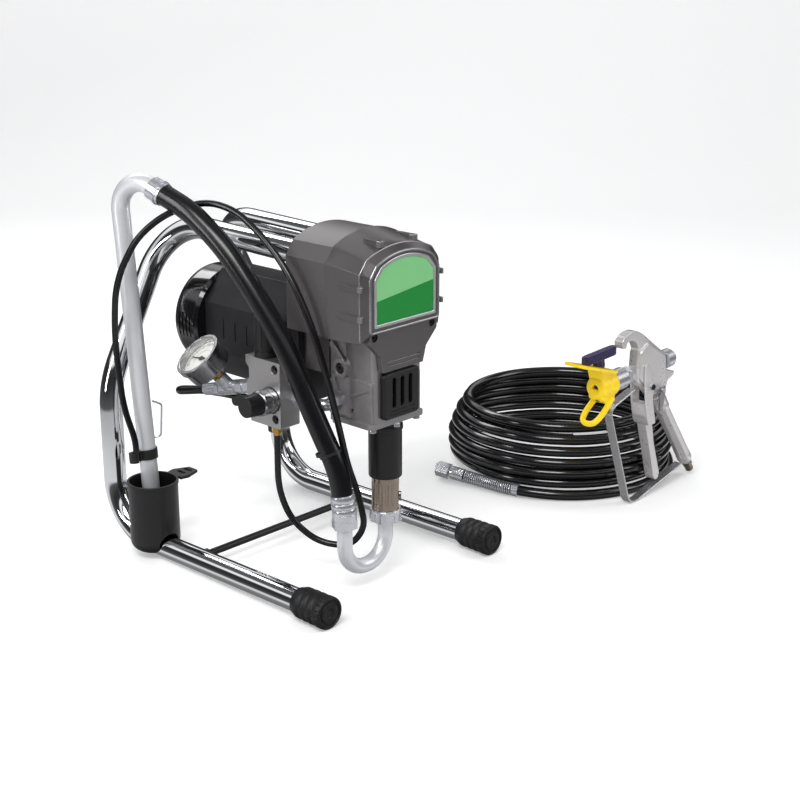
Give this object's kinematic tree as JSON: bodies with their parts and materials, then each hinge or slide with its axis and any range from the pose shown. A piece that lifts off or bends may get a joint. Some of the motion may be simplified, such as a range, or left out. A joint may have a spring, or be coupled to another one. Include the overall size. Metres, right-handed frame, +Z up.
{
  "type": "airless paint sprayer",
  "caption": "Electric airless paint sprayer on a bent-tube skid, with vertical piston pump, gauge, suction tube, drip cup, coiled hose and spray gun.",
  "frame": {"origin": "on the floor under the front end of the left foot", "axes": "+Z up, the label and feet face -Y, +X towards the hose coil and spray gun"},
  "size_m": [0.91, 0.4979, 0.5346],
  "materials": {
    "chrome": "chrome",
    "black_steel": "black steel",
    "rubber": "rubber",
    "pewter": "pewter",
    "steel": "steel",
    "dark_steel": "dark steel",
    "silver_trim": "silver trim",
    "green": "green",
    "light_green": "light green",
    "charcoal": "charcoal",
    "iron": "iron",
    "black_gloss": "black gloss",
    "black_plastic": "black plastic",
    "cast_alloy": "cast alloy",
    "bronze": "bronze",
    "zinc": "zinc",
    "satin_alloy": "satin alloy",
    "hose_rubber": "hose rubber",
    "bright_alloy": "bright alloy",
    "brass": "brass",
    "dial_white": "dial white",
    "glass": "glass",
    "gun_alloy": "gun alloy",
    "yellow": "yellow",
    "violet": "violet"
  },
  "bodies": {
    "machine": {"frame_tubes": "chrome", "cross_rod": "black_steel", "foot_caps": "rubber", "gear_case": "pewter", "bearing_plate": "steel", "front_cover": "pewter", "socket_screws": "dark_steel", "label_border": "silver_trim", "label_lower": "green", "label_upper": "light_green", "motor_case": "charcoal", "motor_magnets": "iron", "motor_bell": "black_gloss", "power_inlet": "black_plastic", "pump_housing": "cast_alloy", "vent_guard": "black_plastic", "pump_cylinder": "steel", "packing_set": "steel", "pump_sleeve": "black_plastic", "foot_valve": "bronze", "inlet_fittings": "zinc", "inlet_tube": "satin_alloy", "suction_hose": "hose_rubber", "siphon_tube": "satin_alloy", "drain_hose": "hose_rubber", "hose_clips": "black_plastic", "wire_hook": "zinc", "manifold": "bright_alloy", "outlet_fittings": "zinc", "valve_cartridge": "steel", "filter_element": "steel", "brass_fittings": "brass", "whip_hose": "hose_rubber", "gauge_case": "steel", "gauge_dial": "dial_white", "gauge_glass": "glass"},
    "rotor": {"armature": "iron", "cooling_fan": "black_plastic"},
    "idler": {"idler_gear": "steel"},
    "crank": {"crank_gear": "steel"},
    "piston": {"piston_rod": "steel"},
    "conrod": {"connecting_rod": "steel"},
    "inlet_ball": {"inlet_ball": "steel"},
    "switch": {"power_switch": "black_gloss"},
    "valve": {"valve_handle": "black_plastic"},
    "filter": {"filter_cap": "black_plastic"},
    "pressure": {"pressure_knob": "black_plastic"},
    "needle": {"gauge_needle": "black_gloss"},
    "cup": {"drip_cup": "black_plastic"},
    "coil": {"hose_coil": "hose_rubber", "coil_fittings": "zinc"},
    "coil_nut": {"hose_nut": "zinc"},
    "gun": {"gun_body": "gun_alloy", "gun_fittings": "zinc", "trigger_guard": "steel"},
    "trigger": {"gun_trigger": "gun_alloy"},
    "lock": {"trigger_lock": "steel"},
    "guard": {"tip_guard": "yellow"},
    "tip": {"spray_tip": "violet"},
    "gun_swivel": {"gun_inlet": "steel"}
  },
  "joints": [
    {"name": "motor_spin", "type": "hinge", "parent": "machine", "child": "rotor", "pos_m": [0.1585, 0.209, 0.312], "axis": [0, 1, 0], "continuous": true},
    {"name": "idler_spin", "type": "hinge", "parent": "machine", "child": "idler", "pos_m": [0.18335, 0.119, 0.35481], "axis": [0, 1, 0], "continuous": true},
    {"name": "crank_spin", "type": "hinge", "parent": "machine", "child": "crank", "pos_m": [0.1585, 0.109, 0.405], "axis": [0, 1, 0], "continuous": true},
    {"name": "piston_stroke", "type": "slide", "parent": "machine", "child": "piston", "axis": [0, 0, 1], "range_m": [-0.025, 0]},
    {"name": "conrod_swing", "type": "hinge", "parent": "piston", "child": "conrod", "pos_m": [0.1585, 0.051, 0.3225], "axis": [0, 1, 0], "range_deg": [-7.5, 7.5]},
    {"name": "inlet_ball_lift", "type": "slide", "parent": "machine", "child": "inlet_ball", "axis": [0, 0, 1], "range_m": [0, 0.003]},
    {"name": "switch_rock", "type": "hinge", "parent": "machine", "child": "switch", "pos_m": [0.2169, 0.293, 0.312], "axis": [0, 1, 0], "range_deg": [-7, 7]},
    {"name": "valve_turn", "type": "hinge", "parent": "machine", "child": "valve", "pos_m": [0.0425, 0.169, 0.249], "axis": [-1, 0, 0], "range_deg": [0, 90]},
    {"name": "filter_lift", "type": "slide", "parent": "machine", "child": "filter", "axis": [0, 0, 1], "range_m": [0, 0.04]},
    {"name": "pressure_turn", "type": "hinge", "parent": "machine", "child": "pressure", "pos_m": [0.0915, 0.191, 0.205], "axis": [0, 0, 1], "range_deg": [0, 270]},
    {"name": "needle_swing", "type": "hinge", "parent": "machine", "child": "needle", "pos_m": [0.05491, 0.27592, 0.27338], "axis": [-0.6241, 0.2023, 0.7547], "range_deg": [-135, 135]},
    {"name": "cup_lift", "type": "slide", "parent": "machine", "child": "cup", "axis": [0, 0, 1], "range_m": [0, 0.022]},
    {"name": "coil_slide", "type": "slide", "parent": "machine", "child": "coil", "axis": [0, 1, 0], "range_m": [0, 0.3]},
    {"name": "coil_nut_spin", "type": "hinge", "parent": "coil", "child": "coil_nut", "pos_m": [0.5005, 0.205, 0.0132], "axis": [-0.1736, 0.9824, 0.0696], "continuous": true},
    {"name": "gun_lift", "type": "slide", "parent": "machine", "child": "gun", "axis": [0, 0, 1], "range_m": [0, 0.3]},
    {"name": "trigger_pull", "type": "hinge", "parent": "gun", "child": "trigger", "pos_m": [0.6373, -0.029, 0.1826], "axis": [0, 1, 0], "range_deg": [-9, 0]},
    {"name": "lock_turn", "type": "hinge", "parent": "gun", "child": "lock", "pos_m": [0.6625, -0.029, 0.172], "axis": [0, 1, 0], "range_deg": [0, 60]},
    {"name": "guard_turn", "type": "hinge", "parent": "gun", "child": "guard", "pos_m": [0.5305, -0.029, 0.20568], "axis": [0.9992, 0, 0.04], "range_deg": [-90, 90]},
    {"name": "tip_reverse", "type": "hinge", "parent": "guard", "child": "tip", "pos_m": [0.52, -0.029, 0.20526], "axis": [-0.04, 0, 0.9992], "range_deg": [0, 180]},
    {"name": "gun_swivel_spin", "type": "hinge", "parent": "gun", "child": "gun_swivel", "pos_m": [0.76724, -0.029, 0.02657], "axis": [0.5902, 0, -0.8073], "continuous": true}
  ],
  "couplings": [
    {"joint": "idler_spin", "follows": "motor_spin", "ratio": -0.22222},
    {"joint": "crank_spin", "follows": "motor_spin", "ratio": 0.062222}
  ]
}
